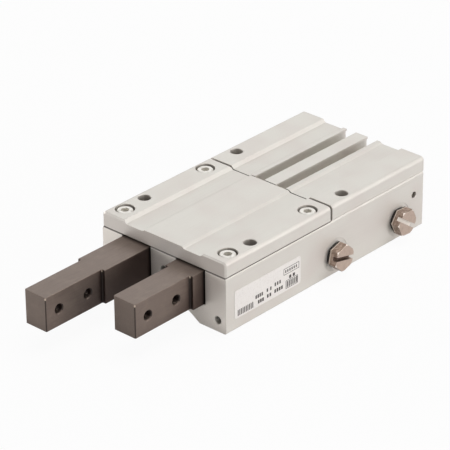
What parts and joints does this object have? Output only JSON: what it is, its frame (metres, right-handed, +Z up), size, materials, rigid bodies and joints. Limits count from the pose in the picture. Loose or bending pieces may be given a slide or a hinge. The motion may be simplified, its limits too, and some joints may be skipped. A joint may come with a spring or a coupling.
{
  "type": "pneumatic escapement",
  "caption": "Double-finger pneumatic escapement: an aluminium housing with two short cylinders that slide square steel fingers out in turn to release parts one at a time.",
  "frame": {"origin": "the middle of the four mounting holes, on the underside of the housing", "axes": "+Z up out of the cover plate, -Y the way the fingers come out, +X to the right seen from the front"},
  "size_m": [0.0452, 0.1126, 0.02],
  "materials": {
    "housing_aluminium": "clear anodised, fine blasted",
    "plate_aluminium": "clear anodised, fine blasted",
    "screw_steel": "bright plated",
    "plug_brass": "dull nickel over brass",
    "gasket_rubber": "black",
    "ball_steel": "bright",
    "bushing_brass": "turned",
    "seal_rubber": "black",
    "bumper_rubber": "dark",
    "cover_aluminium": "turned and anodised",
    "ring_steel": "dark phosphate",
    "finger_steel": "dark brown surface treatment",
    "rod_chrome": "hard chrome",
    "piston_aluminium": "turned",
    "magnet_iron": "bonded magnet",
    "retainer_steel": "plated"
  },
  "bodies": {
    "housing_body": {"housing": "housing_aluminium", "guide_cover_plate": "plate_aluminium", "cover_screws": "screw_steel", "port_plug_front": "plug_brass", "port_plug_rear": "plug_brass", "port_gasket_front": "gasket_rubber", "port_gasket_rear": "gasket_rubber", "passage_ball": "ball_steel", "left_rod_cover": "bushing_brass", "left_rod_cover_seal": "seal_rubber", "left_rod_seal": "seal_rubber", "left_rod_bumper": "bumper_rubber", "left_head_bumper": "bumper_rubber", "left_head_cover": "cover_aluminium", "left_head_cover_seal": "seal_rubber", "left_retaining_ring": "ring_steel", "right_rod_cover": "bushing_brass", "right_rod_cover_seal": "seal_rubber", "right_rod_seal": "seal_rubber", "right_rod_bumper": "bumper_rubber", "right_head_bumper": "bumper_rubber", "right_head_cover": "cover_aluminium", "right_head_cover_seal": "seal_rubber", "right_retaining_ring": "ring_steel"},
    "left_finger_unit": {"left_finger": "finger_steel", "left_piston_rod": "rod_chrome", "left_piston": "piston_aluminium", "left_piston_seal": "seal_rubber", "left_magnet": "magnet_iron", "left_magnet_retainer": "retainer_steel", "left_piston_nut": "retainer_steel"},
    "right_finger_unit": {"right_finger": "finger_steel", "right_piston_rod": "rod_chrome", "right_piston": "piston_aluminium", "right_piston_seal": "seal_rubber", "right_magnet": "magnet_iron", "right_magnet_retainer": "retainer_steel", "right_piston_nut": "retainer_steel"}
  },
  "joints": [
    {"name": "left_finger_slide", "type": "slide", "parent": "housing_body", "child": "left_finger_unit", "axis": [0, 1, 0], "range_m": [0, 0.012]},
    {"name": "right_finger_slide", "type": "slide", "parent": "housing_body", "child": "right_finger_unit", "axis": [0, 1, 0], "range_m": [-0.012, 0]}
  ]
}
